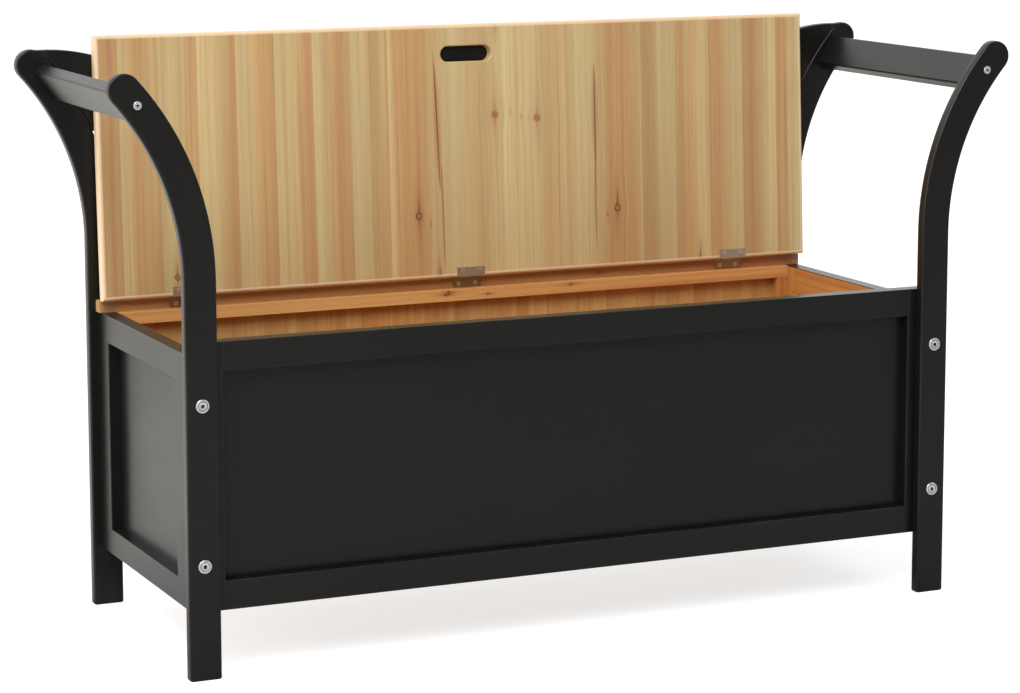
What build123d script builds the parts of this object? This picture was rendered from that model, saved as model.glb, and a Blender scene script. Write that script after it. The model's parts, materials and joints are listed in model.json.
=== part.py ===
from build123d import *

import os
from math import asin, atan2, cos, degrees, sin, sqrt

os.makedirs("parts", exist_ok=True)

# Storage bench in millimetres. +X runs along the bench to the right, +Y to the back, +Z up.
# The origin is on the floor, in the middle of the four feet. The lid is modelled open.

# Overall
bench_width = 1260.0  # over the rounded tips of the arms
bench_depth = 420.0  # over the front and back legs
arm_height = 750.0  # floor to the top of the arms

# Legs, which curve outward at the top and become the arms
leg_width = 41.0
leg_thickness = 15.0
leg_span = 1080.0  # over the outer edges of the straight legs
arm_start = 494.0  # height where the straight leg turns into the curve
edge_ease = 2.0  # chamfer along the edges of legs, arm bars and backrest rail

# Framed front and sides of the box
frame_thickness = 20.0
panel_thickness = 4.0
panel_step = 1.0  # the panel's inner face lies this far inside the frame's inner face
groove_depth = 8.0
groove_clearance = 0.5
arris = 0.8
side_inset = 13.0  # outer face of a side, inward from the legs' outer edge
front_bottom = 82.0
front_top = 418.0
front_rail = 37.0
front_stile = 40.0
side_bottom = 79.0
side_top = 400.0
side_top_rail = 37.0
side_bottom_rail = 33.0
side_front_stile = 49.0
side_rear_stile = 43.0

# Back and bottom, carried by square battens
batten = 17.0
back_panel_thickness = 10.0
bottom_batten_lift = 10.5  # above the lower edge of the front
bottom_panel_thickness = 8.0
bottom_panel_clearance = 0.5

# Seat: the lid and the fixed strip behind it
seat_thickness = 16.0
seat_inset = 10.0  # ends of lid and strip, inward from the legs' outer edge
seat_round = 4.0
seat_rest = 0.3  # closed lid above the side tops
strip_depth = 17.0
lid_front_gap = 1.8
slot_length = 76.0
slot_width = 21.5
slot_setback = 41.0  # centre of the hand slot from the lid's free edge
slot_ease = 1.5

# Hinges
hinge_spread = 412.0  # outer hinges from the middle one
hinge_length = 42.0
hinge_gap = 1.4  # between the lid's rear edge and the strip
leaf_thickness = 0.8
leaf_on_lid = 13.0
leaf_lift = 1.2  # lower edge of the strip's leaf above the side tops
mortise_clearance = 0.1
barrel_radius = 1.7
pin_radius = 0.9
pin_clearance = 0.05
pin_drop = 0.3  # pin axis below the top of the lid
knuckle_gap = 0.2

# Backrest rail
rail_thickness = 15.0
rail_width = 96.0  # of its straight middle
rail_end_drop = 1.0  # top of its ends below the arm tops
rail_dip = 13.0  # top of its straight middle below its ends
rail_end_inset = 40.0  # square-cut ends, inward from the arm tips
rail_swell = 110.0  # length of the rising curve at each end of the top edge
rail_glue_gap = 0.2
lid_lean_gap = 0.3
tenon_lift = 50.0  # middle of the loose tenons above the rail's lower edge
tenon_length = 26.0
tenon_width = 44.0
tenon_thickness = 6.0
tenon_clearance = 0.1

# Arm bars
bar_width = 48.0
bar_thickness = 17.0
bar_setback = 32.0  # centre of the bar from the centre of the arm's round tip, along the arm
bar_offset = 4.0  # from the middle of the arm towards the seat

# Bolts
bolt_radius = 3.0
bolt_clearance = 0.25
bolt_sides = 8  # the shank is modelled with few faces
bolt_heights = (143.5, 343.0)
leg_bolt_head_radius = 9.2
arm_bolt_head_radius = 6.3
bolt_head_height = 2.2
bolt_grip = 31.0  # length of shank in the wood behind the leg or frame
socket_radius = 2.3
socket_depth = 1.6
arm_bolt_setback = 23.3

# Places that follow from the sizes above
leg_x = (leg_span - leg_width) / 2  # middle of a straight leg
leg_face = bench_depth / 2 - leg_thickness  # inner faces of front and back legs
side_outer = leg_span / 2 - side_inset
side_inner = side_outer - frame_thickness
front_inner = leg_face - frame_thickness
back_inner = leg_face - back_panel_thickness
batten_face = back_inner - batten
seat_half = leg_span / 2 - seat_inset
strip_front = leg_face - strip_depth
lid_depth = strip_front - hinge_gap + front_inner - lid_front_gap
pivot_y = strip_front - hinge_gap / 2
pivot_z = side_top + seat_rest + seat_thickness - pin_drop
panel_recess = frame_thickness - panel_step - panel_thickness
bolt_hole_radius = bolt_radius + bolt_clearance
bolt_hole_depth = bolt_grip + bolt_clearance

# The arm follows an arc that leaves the leg upright and ends at the centre of the round tip.
tip_radius = leg_width / 2
arm_flare = bench_width / 2 - tip_radius - leg_x
arm_rise = arm_height - tip_radius - arm_start
arm_sweep = 2 * atan2(arm_flare, arm_rise)
arm_radius = arm_rise / sin(arm_sweep)
arc_x = leg_x + arm_radius

# Top edge of the backrest rail, which swells between its straight middle and its ends
rail_end_top = arm_height - rail_end_drop
rail_middle_top = rail_end_top - rail_dip
rail_swell_top = (rail_end_top + rail_middle_top) / 2
rail_bottom = rail_middle_top - rail_width
tenon_height = rail_bottom + tenon_lift

# The open lid leans back until it almost touches the swell of the backrest rail.
lid_lean = atan2(
    leg_face - lid_lean_gap - pivot_y - pin_drop,
    rail_swell_top - edge_ease - pivot_z,
)


def arm_point(radius, sweep, sign):
    """Point on an arc about the arm's centre of curvature, as (x, z)."""
    return sign * (arc_x - radius * cos(sweep)), arm_start + radius * sin(sweep)


def side_planes(sign):
    """Outward direction of a side of the box, and the direction that runs to its right."""
    return (sign, 0, 0), (0, sign, 0)


# ---------------------------------------------------------------- legs with their arms
inner_edge = arm_radius + tip_radius
outer_edge = arm_radius - tip_radius
bolt_sweep = arm_sweep - arm_bolt_setback / arm_radius
cope_radius = inner_edge + rail_glue_gap
tenon_sweep = asin((tenon_height - arm_start) / cope_radius)
tenon_size = (tenon_length, tenon_width, tenon_thickness)
mortise_size = [size + 2 * tenon_clearance for size in tenon_size]


def tenon_plane(sign):
    """Middle of the loose tenon between arm and backrest rail: x runs into the arm, z back."""
    x, z = arm_point(cope_radius, tenon_sweep, sign)
    return Plane(
        (x, leg_face + rail_thickness / 2, z),
        x_dir=(sign * cos(tenon_sweep), 0, -sin(tenon_sweep)),
        z_dir=(0, 1, 0),
    )


for end in ("front", "back"):
    outer_face = -bench_depth / 2 if end == "front" else bench_depth / 2
    outward = (0, -1, 0) if end == "front" else (0, 1, 0)
    extrude_from = leg_face if end == "front" else -bench_depth / 2
    for hand, sign in (("left", -1), ("right", 1)):
        foot_in = (sign * (leg_x - tip_radius), 0)
        foot_out = (sign * (leg_x + tip_radius), 0)
        tip_centre = arm_point(arm_radius, arm_sweep, sign)
        tip_end = (
            tip_centre[0] + sign * tip_radius * sin(arm_sweep),
            tip_centre[1] + tip_radius * cos(arm_sweep),
        )
        with BuildPart() as leg:
            with BuildSketch(Plane.XZ.offset(extrude_from)):
                with BuildLine():
                    Line(foot_in, foot_out)
                    Line(foot_out, arm_point(outer_edge, 0, sign))
                    ThreePointArc(
                        arm_point(outer_edge, 0, sign),
                        arm_point(outer_edge, arm_sweep / 2, sign),
                        arm_point(outer_edge, arm_sweep, sign),
                    )
                    ThreePointArc(
                        arm_point(outer_edge, arm_sweep, sign),
                        tip_end,
                        arm_point(inner_edge, arm_sweep, sign),
                    )
                    ThreePointArc(
                        arm_point(inner_edge, arm_sweep, sign),
                        arm_point(inner_edge, arm_sweep / 2, sign),
                        arm_point(inner_edge, 0, sign),
                    )
                    Line(arm_point(inner_edge, 0, sign), foot_in)
                make_face()
            extrude(amount=leg_thickness)
            broad_faces = leg.faces().sort_by(Axis.Y)
            chamfer(broad_faces[0].edges() + broad_faces[-1].edges(), length=edge_ease)
            bolt_places = [(sign * leg_x, height) for height in bolt_heights]
            bolt_places.append(arm_point(arm_radius, bolt_sweep, sign))
            with Locations(*[Plane((x, outer_face, z), z_dir=outward) for x, z in bolt_places]):
                Hole(bolt_hole_radius, leg_thickness)
            if end == "back":
                with Locations(tenon_plane(sign)):
                    Box(*mortise_size, mode=Mode.SUBTRACT)
        name = f"{end}_{hand}_leg"
        leg.part.label = name
        export_step(leg.part, f"parts/{name}.step")


# ---------------------------------------------------------------- framed front and sides
def grooved_member(plane, length, width, opening, tenon=0.0):
    """A stile or rail. Its length runs along the plane's x, its width along y from the grooved
    edge outward, and its outer face is at z = 0. opening is the stretch of x along the panel."""
    section = Plane(plane.origin, x_dir=plane.y_dir, z_dir=plane.x_dir)
    tongue = width - groove_depth
    with BuildPart() as member:
        with BuildSketch(section):
            with BuildLine():
                Polyline(
                    (0, 0),
                    (0, -panel_recess),
                    (groove_depth, -panel_recess),
                    (groove_depth, -panel_recess - panel_thickness),
                    (0, -panel_recess - panel_thickness),
                    (0, -frame_thickness),
                    (width, -frame_thickness),
                    (width, 0),
                    close=True,
                )
            make_face()
        extrude(amount=length)
        if tenon:
            with BuildSketch(section.offset(-tenon)):
                with Locations((groove_depth + tongue / 2, -panel_recess - panel_thickness / 2)):
                    Rectangle(tongue, panel_thickness)
            extrude(amount=length + 2 * tenon)
        with BuildSketch(section.offset(opening[0])):
            with BuildLine():
                Polyline((0, 0), (arris, 0), (0, -arris), close=True)
            make_face()
        extrude(amount=opening[1] - opening[0], mode=Mode.SUBTRACT)
    return member.part


def thin_panel(plane, length, height):
    """A panel in its grooves. The plane's origin is the lower left corner of the opening in the
    frame, at the frame's outer face."""
    lap = groove_depth - groove_clearance
    with BuildPart() as panel:
        with BuildSketch(plane.offset(-panel_recess)):
            with Locations((length / 2, height / 2)):
                Rectangle(length + 2 * lap, height + 2 * lap)
        extrude(amount=-panel_thickness)
    return panel.part


stub_tenon = groove_depth - groove_clearance

# Front: full width between the legs' outer zones, its stiles clamped behind the front legs.
front_y = -leg_face
front_facing = (0, -1, 0)
front_height = front_top - front_bottom
front_opening_x = side_outer - front_stile
front_opening_height = front_height - 2 * front_rail
front_opening_bottom = front_bottom + front_rail

for hand, sign in (("left", -1), ("right", 1)):
    inner_corner = (sign * front_opening_x, front_y, front_top if sign > 0 else front_bottom)
    stile_plane = Plane(inner_corner, x_dir=(0, 0, -sign), z_dir=front_facing)
    with BuildPart() as front_side_stile:
        add(
            grooved_member(
                stile_plane,
                front_height,
                front_stile,
                (front_rail, front_height - front_rail),
            )
        )
        with Locations(
            *[Plane((sign * leg_x, front_y, height), z_dir=front_facing) for height in bolt_heights]
        ):
            Hole(bolt_hole_radius, frame_thickness)
    name = f"front_{hand}_stile"
    front_side_stile.part.label = name
    export_step(front_side_stile.part, f"parts/{name}.step")

with BuildPart() as front_top_rail:
    add(
        grooved_member(
            Plane(
                (-front_opening_x, front_y, front_top - front_rail),
                x_dir=(1, 0, 0),
                z_dir=front_facing,
            ),
            2 * front_opening_x,
            front_rail,
            (0, 2 * front_opening_x),
            stub_tenon,
        )
    )
front_top_rail.part.label = "front_top_rail"
export_step(front_top_rail.part, "parts/front_top_rail.step")

with BuildPart() as front_bottom_rail:
    add(
        grooved_member(
            Plane(
                (front_opening_x, front_y, front_opening_bottom),
                x_dir=(-1, 0, 0),
                z_dir=front_facing,
            ),
            2 * front_opening_x,
            front_rail,
            (0, 2 * front_opening_x),
            stub_tenon,
        )
    )
front_bottom_rail.part.label = "front_bottom_rail"
export_step(front_bottom_rail.part, "parts/front_bottom_rail.step")

with BuildPart() as front_panel:
    add(
        thin_panel(
            Plane(
                (-front_opening_x, front_y, front_opening_bottom),
                x_dir=(1, 0, 0),
                z_dir=front_facing,
            ),
            2 * front_opening_x,
            front_opening_height,
        )
    )
front_panel.part.label = "front_panel"
export_step(front_panel.part, "parts/front_panel.step")

# Sides: from the back of the front frame to the back legs.
side_height = side_top - side_bottom
opening_front = -front_inner + side_front_stile
opening_rear = leg_face - side_rear_stile
opening_length = opening_rear - opening_front
opening_height = side_height - side_top_rail - side_bottom_rail
opening_bottom = side_bottom + side_bottom_rail

for hand, sign in (("left", -1), ("right", 1)):
    facing, rightward = side_planes(sign)
    leftward = (0, -sign, 0)
    face_x = sign * side_outer
    opening_left = opening_front if sign > 0 else opening_rear
    opening_right = opening_rear if sign > 0 else opening_front
    stiles = {
        "front": (opening_front, side_front_stile, -front_inner, 1),
        "rear": (opening_rear, side_rear_stile, leg_face, -1),
    }
    for end, (edge_y, width, outer_end, into) in stiles.items():
        upward = edge_y == opening_left
        start_z = side_bottom if upward else side_top
        stretch = (side_bottom_rail, side_height - side_top_rail)
        if not upward:
            stretch = (side_top_rail, side_height - side_bottom_rail)
        with BuildPart() as side_stile:
            add(
                grooved_member(
                    Plane(
                        (face_x, edge_y, start_z),
                        x_dir=(0, 0, 1 if upward else -1),
                        z_dir=facing,
                    ),
                    side_height,
                    width,
                    stretch,
                )
            )
            for height in bolt_heights:
                with Locations(Plane((sign * leg_x, outer_end, height), z_dir=(0, -into, 0))):
                    Hole(bolt_hole_radius, bolt_hole_depth)
        name = f"{hand}_side_{end}_stile"
        side_stile.part.label = name
        export_step(side_stile.part, f"parts/{name}.step")

    with BuildPart() as side_upper_rail:
        add(
            grooved_member(
                Plane(
                    (face_x, opening_left, side_top - side_top_rail),
                    x_dir=rightward,
                    z_dir=facing,
                ),
                opening_length,
                side_top_rail,
                (0, opening_length),
                stub_tenon,
            )
        )
    name = f"{hand}_side_top_rail"
    side_upper_rail.part.label = name
    export_step(side_upper_rail.part, f"parts/{name}.step")

    with BuildPart() as side_lower_rail:
        add(
            grooved_member(
                Plane((face_x, opening_right, opening_bottom), x_dir=leftward, z_dir=facing),
                opening_length,
                side_bottom_rail,
                (0, opening_length),
                stub_tenon,
            )
        )
    name = f"{hand}_side_bottom_rail"
    side_lower_rail.part.label = name
    export_step(side_lower_rail.part, f"parts/{name}.step")

    with BuildPart() as side_panel:
        add(
            thin_panel(
                Plane((face_x, opening_left, opening_bottom), x_dir=rightward, z_dir=facing),
                opening_length,
                opening_height,
            )
        )
    name = f"{hand}_side_panel"
    side_panel.part.label = name
    export_step(side_panel.part, f"parts/{name}.step")


# ---------------------------------------------------------------- back, battens and bottom
with BuildPart() as back_panel:
    with BuildSketch(Plane.XZ.offset(-leg_face)):
        with Locations((0, (front_bottom + side_top) / 2)):
            Rectangle(2 * side_inner, side_top - front_bottom)
    extrude(amount=back_panel_thickness)
back_panel.part.label = "back_panel"
export_step(back_panel.part, "parts/back_panel.step")

with BuildPart() as back_top_batten:
    with BuildSketch(Plane.YZ.offset(-side_inner)):
        with Locations((back_inner - batten / 2, side_top - batten / 2)):
            Rectangle(batten, batten)
    extrude(amount=2 * side_inner)
    fillet(
        back_top_batten.edges().filter_by(Axis.X).group_by(Axis.Y)[0],
        radius=arris,
    )
back_top_batten.part.label = "back_top_batten"
export_step(back_top_batten.part, "parts/back_top_batten.step")

bottom_batten_z = front_bottom + bottom_batten_lift
bottom_panel_z = bottom_batten_z + batten
cleat_foot = bottom_panel_z + bottom_panel_thickness

for name, face_y in (
    ("bottom_front_batten", -front_inner),
    ("bottom_rear_batten", batten_face),
):
    with BuildPart() as long_batten:
        with BuildSketch(Plane.YZ.offset(-side_inner)):
            with Locations((face_y + batten / 2, bottom_batten_z + batten / 2)):
                Rectangle(batten, batten)
        extrude(amount=2 * side_inner)
    long_batten.part.label = name
    export_step(long_batten.part, f"parts/{name}.step")

for hand, sign in (("left", -1), ("right", 1)):
    batten_x = sign * (side_inner - batten / 2)
    with BuildPart() as short_batten:
        with BuildSketch(Plane.XZ.offset(-batten_face)):
            with Locations((batten_x, bottom_batten_z + batten / 2)):
                Rectangle(batten, batten)
        extrude(amount=batten_face + front_inner - batten)
    name = f"bottom_{hand}_batten"
    short_batten.part.label = name
    export_step(short_batten.part, f"parts/{name}.step")

    with BuildPart() as cleat:
        with BuildSketch(Plane.XY.offset(cleat_foot)):
            with Locations((batten_x, back_inner - batten / 2)):
                Rectangle(batten, batten)
        extrude(amount=side_top - batten - cleat_foot)
        chamfer(
            cleat.edges().filter_by(Axis.Z).group_by(Axis.Y)[0].sort_by(Axis.X)[0 if sign > 0 else -1],
            length=arris,
        )
    name = f"rear_{hand}_cleat"
    cleat.part.label = name
    export_step(cleat.part, f"parts/{name}.step")

with BuildPart() as bottom_panel:
    with BuildSketch(Plane.XY.offset(bottom_panel_z)):
        with Locations((0, (back_inner - front_inner) / 2)):
            Rectangle(
                2 * (side_inner - bottom_panel_clearance),
                back_inner + front_inner - 2 * bottom_panel_clearance,
            )
    extrude(amount=bottom_panel_thickness)
bottom_panel.part.label = "bottom_panel"
export_step(bottom_panel.part, "parts/bottom_panel.step")


# ---------------------------------------------------------------- seat strip
hinge_places = (-hinge_spread, 0.0, hinge_spread)
with BuildPart() as seat_strip:
    with BuildSketch(Plane.YZ.offset(-seat_half)):
        with Locations((leg_face - strip_depth / 2, side_top + seat_thickness / 2)):
            Rectangle(strip_depth, seat_thickness)
    extrude(amount=2 * seat_half)
    fillet(
        seat_strip.edges().filter_by(Axis.X).group_by(Axis.Z)[-1],
        radius=seat_round,
    )
seat_strip.part.label = "seat_strip"
export_step(seat_strip.part, "parts/seat_strip.step")

# ---------------------------------------------------------------- lid
# Frame of the open lid: the origin is on the pin axis, x runs along the bench, y runs from the
# hinges to the free edge and z points out of the underside.
lid_plane = Plane(
    (0, pivot_y, pivot_z),
    x_dir=(1, 0, 0),
    z_dir=(0, -cos(lid_lean), sin(lid_lean)),
)
lid_edge = hinge_gap / 2
underside = seat_thickness - pin_drop
slot_y = lid_edge + lid_depth - slot_setback
mortise = leaf_thickness + mortise_clearance


def on_lid(x, y, z):
    """Plane on the lid at local x, y, z, facing out of the underside."""
    origin = lid_plane.from_local_coords(Vector(x, y, z))
    return Plane(origin, x_dir=lid_plane.x_dir, z_dir=lid_plane.z_dir)


with BuildPart() as lid:
    with BuildSketch(on_lid(0, lid_edge + lid_depth / 2, -pin_drop)):
        Rectangle(2 * seat_half, lid_depth)
    extrude(amount=seat_thickness)
    board = lid.faces().filter_by(lid_plane)
    fillet(board[0].edges() + board[-1].edges(), radius=seat_round)
    with BuildSketch(on_lid(0, slot_y, -pin_drop)):
        SlotOverall(slot_length, slot_width)
    extrude(amount=seat_thickness, mode=Mode.SUBTRACT)
    rim = lid.faces().filter_by(lid_plane).edges().filter_by(
        lambda edge: edge.center().X ** 2 < slot_length**2 and edge.length < slot_length
    )
    chamfer(rim, length=slot_ease)
    for x in hinge_places:
        with BuildSketch(on_lid(x, lid_edge + mortise / 2, -pin_drop)):
            Rectangle(hinge_length + 2 * mortise_clearance, mortise)
        extrude(amount=seat_thickness, mode=Mode.SUBTRACT)
        with BuildSketch(on_lid(x, lid_edge + (leaf_on_lid + mortise_clearance) / 2, underside)):
            Rectangle(hinge_length + 2 * mortise_clearance, leaf_on_lid + mortise_clearance)
        extrude(amount=-mortise, mode=Mode.SUBTRACT)
lid.part.label = "lid"
export_step(lid.part, "parts/lid.step")


# ---------------------------------------------------------------- hinges
knuckle_pitch = hinge_length / 3
knuckle_length = knuckle_pitch - knuckle_gap
plate_start = barrel_radius + knuckle_gap  # plates stay clear of the other leaf's knuckles
leaf_foot = pivot_z - side_top - leaf_lift
leaf_middle = (hinge_gap - leaf_thickness) / 2  # of the strip's leaf, behind the pin axis

for place, x in zip(("left", "middle", "right"), hinge_places):
    # The strip's leaf hangs from its two outer knuckles, flat against the strip's front face.
    # The pin is fixed in those knuckles, so it is one piece with the leaf.
    hinge_end = Plane(
        (x - hinge_length / 2, pivot_y, pivot_z),
        x_dir=(0, 1, 0),
        z_dir=(1, 0, 0),
    )
    with BuildPart() as strip_leaf:
        with BuildSketch(hinge_end):
            with Locations((leaf_middle, -(plate_start + leaf_foot) / 2)):
                Rectangle(leaf_thickness, leaf_foot - plate_start)
        extrude(amount=hinge_length)
        with BuildSketch(hinge_end):
            Circle(pin_radius)
        extrude(amount=hinge_length)
        for start in (0, hinge_length - knuckle_length):
            with BuildSketch(hinge_end.offset(start)):
                Circle(barrel_radius)
                with Locations((leaf_middle, -plate_start / 2)):
                    Rectangle(leaf_thickness, plate_start)
            extrude(amount=knuckle_length)
    name = f"{place}_hinge_strip_leaf"
    strip_leaf.part.label = name
    export_step(strip_leaf.part, f"parts/{name}.step")

    # The lid's leaf crosses the lid's rear edge and turns onto its underside. Its one knuckle
    # turns on the pin.
    crank = Plane(
        lid_plane.from_local_coords(Vector(x - hinge_length / 2, 0, 0)),
        x_dir=lid_plane.y_dir,
        z_dir=lid_plane.x_dir,
    )
    bend = lid_plane.from_local_coords(Vector(x, lid_edge, underside))
    with BuildPart() as lid_leaf:
        with BuildSketch(crank):
            with BuildLine():
                Polyline(
                    (lid_edge, plate_start),
                    (lid_edge, underside),
                    (lid_edge + leaf_on_lid, underside),
                    (lid_edge + leaf_on_lid, underside - leaf_thickness),
                    (lid_edge + leaf_thickness, underside - leaf_thickness),
                    (lid_edge + leaf_thickness, plate_start),
                    close=True,
                )
            make_face()
        extrude(amount=hinge_length)
        outer_bend = lid_leaf.edges().filter_by(Axis.X).sort_by_distance(bend)[0]
        fillet(outer_bend, radius=leaf_thickness)
        with BuildSketch(crank.offset((hinge_length - knuckle_length) / 2)):
            Circle(barrel_radius)
            with Locations((lid_edge + leaf_thickness / 2, plate_start / 2)):
                Rectangle(leaf_thickness, plate_start)
        extrude(amount=knuckle_length)
        with Locations(crank.offset(hinge_length)):
            Hole(pin_radius + pin_clearance, hinge_length)
    name = f"{place}_hinge_lid_leaf"
    lid_leaf.part.label = name
    export_step(lid_leaf.part, f"parts/{name}.step")


# ---------------------------------------------------------------- backrest rail
rail_end_x = bench_width / 2 - rail_end_inset
swell_start = rail_end_x - rail_swell
swell_middle = ((swell_start + rail_end_x) / 2, rail_swell_top)


def cope_x(height):
    """Half length of the rail at a height, where its end is coped to the arm's inner edge."""
    return arc_x - sqrt(cope_radius**2 - (height - arm_start) ** 2)


cope_top = arm_start + sqrt(cope_radius**2 - (arc_x - rail_end_x) ** 2)
cope_middle = (rail_bottom + cope_top) / 2

with BuildPart() as backrest_rail:
    with BuildSketch(Plane.XZ.offset(-leg_face - rail_thickness)):
        with BuildLine():
            Line((0, rail_bottom), (cope_x(rail_bottom), rail_bottom))
            ThreePointArc(
                (cope_x(rail_bottom), rail_bottom),
                (cope_x(cope_middle), cope_middle),
                (rail_end_x, cope_top),
            )
            Line((rail_end_x, cope_top), (rail_end_x, rail_end_top))
            crown = TangentArc((rail_end_x, rail_end_top), swell_middle, tangent=(-1, 0))
            hollow = TangentArc(crown @ 1, (swell_start, rail_middle_top), tangent=crown % 1)
            Line(hollow @ 1, (0, rail_middle_top))
            mirror(about=Plane.YZ)
        make_face()
    extrude(amount=rail_thickness)
    broad_faces = backrest_rail.faces().sort_by(Axis.Y)
    chamfer(broad_faces[0].edges() + broad_faces[-1].edges(), length=edge_ease)
    with Locations(tenon_plane(-1), tenon_plane(1)):
        Box(*mortise_size, mode=Mode.SUBTRACT)
backrest_rail.part.label = "backrest_rail"
export_step(backrest_rail.part, "parts/backrest_rail.step")

with BuildPart() as rail_tenons:
    with Locations(tenon_plane(-1), tenon_plane(1)):
        Box(*tenon_size)
rail_tenons.part.label = "rail_tenons"
export_step(rail_tenons.part, "parts/rail_tenons.step")


# ---------------------------------------------------------------- arm bars
bar_sweep = arm_sweep - bar_setback / arm_radius


for hand, sign in (("left", -1), ("right", 1)):
    bar_x, bar_z = arm_point(arm_radius + bar_offset, bar_sweep, sign)
    bar_end = Plane(
        (bar_x, -leg_face, bar_z),
        x_dir=(sign * sin(bar_sweep), 0, cos(bar_sweep)),
        z_dir=(0, 1, 0),
    )
    bolt_x, bolt_z = arm_point(arm_radius, bolt_sweep, sign)
    with BuildPart() as arm_bar:
        with BuildSketch(bar_end) as bar_section:
            Rectangle(bar_width, bar_thickness)
            chamfer(bar_section.vertices(), length=edge_ease)
        extrude(amount=2 * leg_face)
        for end in (-1, 1):
            with Locations(Plane((bolt_x, end * leg_face, bolt_z), z_dir=(0, end, 0))):
                Hole(bolt_hole_radius, bolt_hole_depth)
    name = f"{hand}_arm_bar"
    arm_bar.part.label = name
    export_step(arm_bar.part, f"parts/{name}.step")


# ---------------------------------------------------------------- bolts
def cap_bolt(head_radius, length):
    """Flat-headed bolt with a hexagon socket. Under the head z = 0, and the shank runs down -z."""
    with BuildPart() as bolt:
        with BuildSketch():
            RegularPolygon(bolt_radius, bolt_sides)
        extrude(amount=-length)
        with BuildSketch():
            Circle(head_radius)
        extrude(amount=bolt_head_height)
        with BuildSketch(Plane.XY.offset(bolt_head_height)):
            RegularPolygon(socket_radius, 6)
        extrude(amount=-socket_depth, mode=Mode.SUBTRACT)
    return bolt.part


half_depth = bench_depth / 2
front_bolt_length = leg_thickness + frame_thickness + bolt_grip
short_bolt_length = leg_thickness + bolt_grip
leg_places = [(sign * leg_x, height) for sign in (-1, 1) for height in bolt_heights]
arm_places = [arm_point(arm_radius, bolt_sweep, sign) for sign in (-1, 1)]

with BuildPart() as front_leg_bolts:
    with Locations(*[Plane((x, -half_depth, z), z_dir=(0, -1, 0)) for x, z in leg_places]):
        add(cap_bolt(leg_bolt_head_radius, front_bolt_length))
front_leg_bolts.part.label = "front_leg_bolts"
export_step(front_leg_bolts.part, "parts/front_leg_bolts.step")

with BuildPart() as back_leg_bolts:
    with Locations(*[Plane((x, half_depth, z), z_dir=(0, 1, 0)) for x, z in leg_places]):
        add(cap_bolt(leg_bolt_head_radius, short_bolt_length))
back_leg_bolts.part.label = "back_leg_bolts"
export_step(back_leg_bolts.part, "parts/back_leg_bolts.step")

with BuildPart() as arm_bolts:
    with Locations(
        *[Plane((x, end * half_depth, z), z_dir=(0, end, 0)) for x, z in arm_places for end in (-1, 1)]
    ):
        add(cap_bolt(arm_bolt_head_radius, short_bolt_length))
arm_bolts.part.label = "arm_bolts"
export_step(arm_bolts.part, "parts/arm_bolts.step")

print("lid lean", round(degrees(lid_lean), 3), "arm sweep", round(degrees(arm_sweep), 3))
print("pivot", round(pivot_y, 3), round(pivot_z, 3), "lid depth", round(lid_depth, 3))
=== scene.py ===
import json
from collections import namedtuple
from functools import reduce
from math import atan2, cos, pi, radians, sin

import bmesh
import bpy
import numpy as np
from mathutils import Matrix, Vector


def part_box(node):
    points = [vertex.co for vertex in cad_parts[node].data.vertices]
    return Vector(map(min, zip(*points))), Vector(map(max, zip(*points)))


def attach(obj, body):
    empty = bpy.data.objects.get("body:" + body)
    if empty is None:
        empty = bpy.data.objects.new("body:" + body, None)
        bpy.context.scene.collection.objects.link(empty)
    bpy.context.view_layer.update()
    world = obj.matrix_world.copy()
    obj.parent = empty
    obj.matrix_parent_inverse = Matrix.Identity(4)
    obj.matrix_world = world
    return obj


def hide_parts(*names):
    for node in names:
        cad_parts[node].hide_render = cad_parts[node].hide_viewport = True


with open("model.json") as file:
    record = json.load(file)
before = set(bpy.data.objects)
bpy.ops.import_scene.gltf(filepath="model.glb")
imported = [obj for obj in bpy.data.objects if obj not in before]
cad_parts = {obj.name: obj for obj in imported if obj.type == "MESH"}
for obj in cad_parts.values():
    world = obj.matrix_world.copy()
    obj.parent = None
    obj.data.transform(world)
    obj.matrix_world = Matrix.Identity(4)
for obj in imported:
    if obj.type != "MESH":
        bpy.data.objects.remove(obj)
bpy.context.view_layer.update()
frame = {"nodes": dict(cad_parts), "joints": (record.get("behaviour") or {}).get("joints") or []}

nodes = frame["nodes"]
scene = bpy.context.scene


# ------------------------------------------------------------------ the camera
# Stands in front and to the left, a little above the arms, with a long lens. It looks slightly
# down, and a small lens shift keeps the legs near upright.
EYE = Vector((-1.6783, -3.6636, 1.0562))
YAW, PITCH, ROLL = 0.4263, 0.1438, -0.0010
gaze = Vector((sin(YAW) * cos(PITCH), cos(YAW) * cos(PITCH), -sin(PITCH)))
rightward = Vector((cos(YAW), -sin(YAW), 0))
upward = rightward.cross(gaze)
rolled_right = cos(ROLL) * rightward + sin(ROLL) * upward
rolled_up = cos(ROLL) * upward - sin(ROLL) * rightward
lens = bpy.data.cameras.new("camera")
lens.sensor_width = 36
lens.lens = 107.41
lens.shift_y = -0.0926
lens.clip_start = 0.05
lens.clip_end = 60
camera = bpy.data.objects.new("camera", lens)
turn = Matrix((rolled_right, rolled_up, -gaze)).transposed().to_4x4()
camera.matrix_world = Matrix.Translation(EYE) @ turn
scene.collection.objects.link(camera)
scene.camera = camera


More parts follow.
